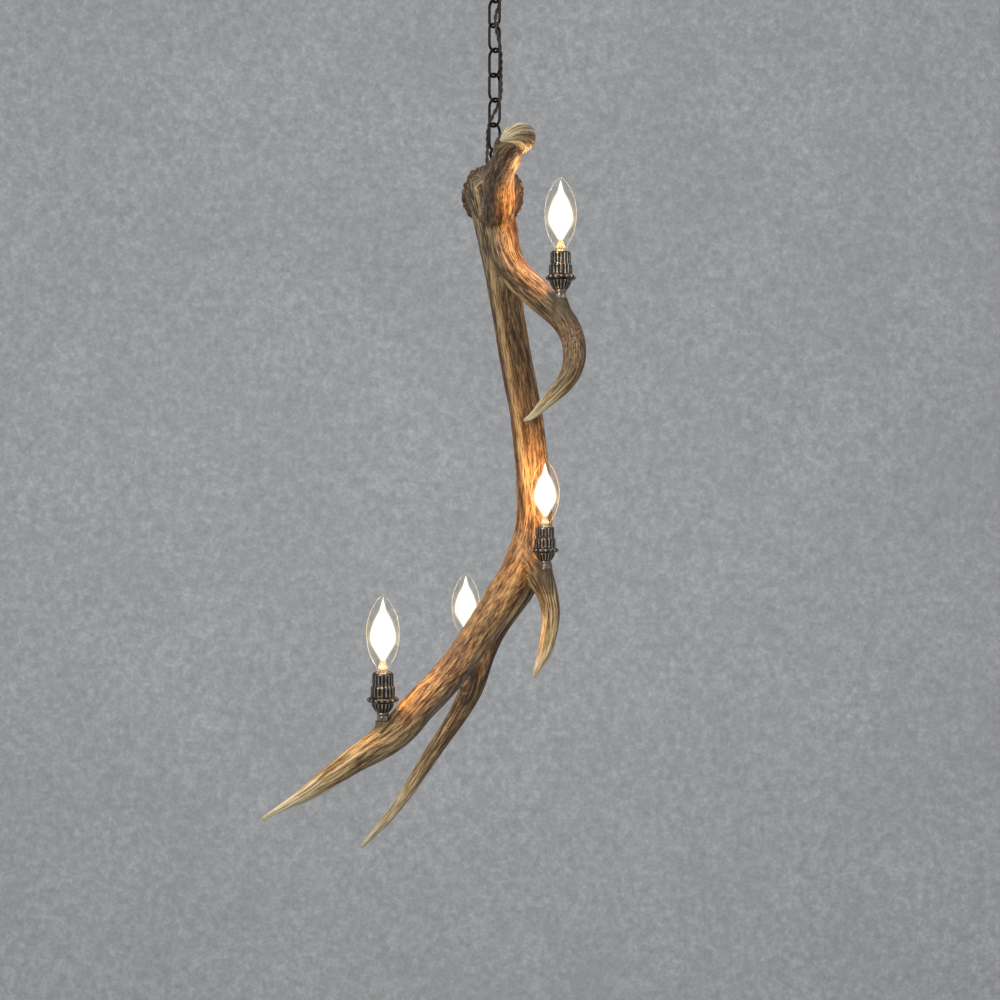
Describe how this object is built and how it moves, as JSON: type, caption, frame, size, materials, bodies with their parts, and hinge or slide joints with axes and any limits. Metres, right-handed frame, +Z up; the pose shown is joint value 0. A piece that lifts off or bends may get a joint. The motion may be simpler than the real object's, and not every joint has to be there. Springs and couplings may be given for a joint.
{
  "type": "antler chandelier",
  "caption": "Antler chandelier hung by a chain from a round ceiling canopy, with upright candle sockets and torpedo bulbs on the branches.",
  "frame": {"origin": "centre of the ceiling canopy where it meets the ceiling, on the chain's axis", "axes": "+Z up, the chain hangs along -Z; +Y points away from the viewer of the picture; +X to the right"},
  "size_m": [0.327, 0.5384, 1.1248],
  "materials": {
    "bronze_paint": "satin dark bronze",
    "antique_brass": "aged satin",
    "zinc_steel": "zinc plated",
    "antler": "natural, lightly polished",
    "lead_sleeve": "woven dark sleeve",
    "core_insulation": "matte",
    "connector_plastic": "matte",
    "phenolic": "moulded",
    "liner_board": "matte",
    "contact_brass": "bright",
    "plated_base": "nickel plated",
    "clear_glass": "clear",
    "filament": "glowing"
  },
  "bodies": {
    "ceiling": {"canopy": "bronze_paint", "crossbar": "zinc_steel", "ground_screw": "zinc_steel", "ceiling_nipple": "zinc_steel", "locknuts": "zinc_steel", "ceiling_loop": "bronze_paint", "wire_connectors": "connector_plastic", "supply_cores": "core_insulation", "supply_lead": "lead_sleeve"},
    "collar": {"collar_ring": "bronze_paint"},
    "link_1": {"link_1": "bronze_paint"},
    "link_2": {"link_2": "bronze_paint"},
    "link_3": {"link_3": "bronze_paint"},
    "link_4": {"link_4": "bronze_paint"},
    "link_5": {"link_5": "bronze_paint"},
    "link_6": {"link_6": "bronze_paint"},
    "link_7": {"link_7": "bronze_paint"},
    "antler": {"antler": "antler", "screw_eye": "bronze_paint", "socket_caps": "antique_brass", "socket_rings": "antique_brass", "socket_shells": "antique_brass", "socket_nipples": "zinc_steel", "set_screws": "antique_brass", "socket_insulators": "phenolic", "screw_shells": "contact_brass", "centre_contacts": "contact_brass", "socket_liners": "liner_board", "socket_cores": "core_insulation"},
    "bulb_1": {"bulb_glass_1": "clear_glass", "bulb_base_1": "plated_base", "bulb_contact_1": "contact_brass", "bulb_filaments_1": "filament"},
    "bulb_2": {"bulb_glass_2": "clear_glass", "bulb_base_2": "plated_base", "bulb_contact_2": "contact_brass", "bulb_filaments_2": "filament"},
    "bulb_3": {"bulb_glass_3": "clear_glass", "bulb_base_3": "plated_base", "bulb_contact_3": "contact_brass", "bulb_filaments_3": "filament"},
    "bulb_4": {"bulb_glass_4": "clear_glass", "bulb_base_4": "plated_base", "bulb_contact_4": "contact_brass", "bulb_filaments_4": "filament"}
  },
  "joints": [
    {"name": "collar_spin", "type": "hinge", "parent": "ceiling", "child": "collar", "pos_m": [0, 0, -0.0298], "axis": [0, 0, 1], "continuous": true},
    {"name": "chain_swing_1", "type": "hinge", "parent": "ceiling", "child": "link_1", "pos_m": [0, 0, -0.0581], "axis": [0.7071, -0.7071, 0], "range_deg": [-12, 12], "deforming": ["supply_lead"]},
    {"name": "chain_swing_2", "type": "hinge", "parent": "link_1", "child": "link_2", "pos_m": [0, 0, -0.0865], "axis": [0.7071, 0.7071, 0], "range_deg": [-12, 12], "deforming": ["supply_lead"]},
    {"name": "chain_swing_3", "type": "hinge", "parent": "link_2", "child": "link_3", "pos_m": [0, 0, -0.1155], "axis": [0.7071, -0.7071, 0], "range_deg": [-12, 12], "deforming": ["supply_lead"]},
    {"name": "chain_swing_4", "type": "hinge", "parent": "link_3", "child": "link_4", "pos_m": [0, 0, -0.1445], "axis": [0.7071, 0.7071, 0], "range_deg": [-12, 12], "deforming": ["supply_lead"]},
    {"name": "chain_swing_5", "type": "hinge", "parent": "link_4", "child": "link_5", "pos_m": [0, 0, -0.1735], "axis": [0.7071, -0.7071, 0], "range_deg": [-12, 12], "deforming": ["supply_lead"]},
    {"name": "chain_swing_6", "type": "hinge", "parent": "link_5", "child": "link_6", "pos_m": [0, 0, -0.2025], "axis": [0.7071, 0.7071, 0], "range_deg": [-12, 12], "deforming": ["supply_lead"]},
    {"name": "chain_swing_7", "type": "hinge", "parent": "link_6", "child": "link_7", "pos_m": [0, 0, -0.2315], "axis": [0.7071, -0.7071, 0], "range_deg": [-12, 12], "deforming": ["supply_lead"]},
    {"name": "chain_swing_8", "type": "hinge", "parent": "link_7", "child": "antler", "pos_m": [0, 0, -0.2605], "axis": [0.7071, 0.7071, 0], "range_deg": [-12, 12], "deforming": ["supply_lead"]},
    {"name": "bulb_draw_1", "type": "slide", "parent": "antler", "child": "bulb_1", "axis": [0, 0, 1], "range_m": [0, 0.028]},
    {"name": "bulb_draw_2", "type": "slide", "parent": "antler", "child": "bulb_2", "axis": [0, 0, 1], "range_m": [0, 0.028]},
    {"name": "bulb_draw_3", "type": "slide", "parent": "antler", "child": "bulb_3", "axis": [0, 0, 1], "range_m": [0, 0.028]},
    {"name": "bulb_draw_4", "type": "slide", "parent": "antler", "child": "bulb_4", "axis": [0, 0, 1], "range_m": [0, 0.028]}
  ]
}
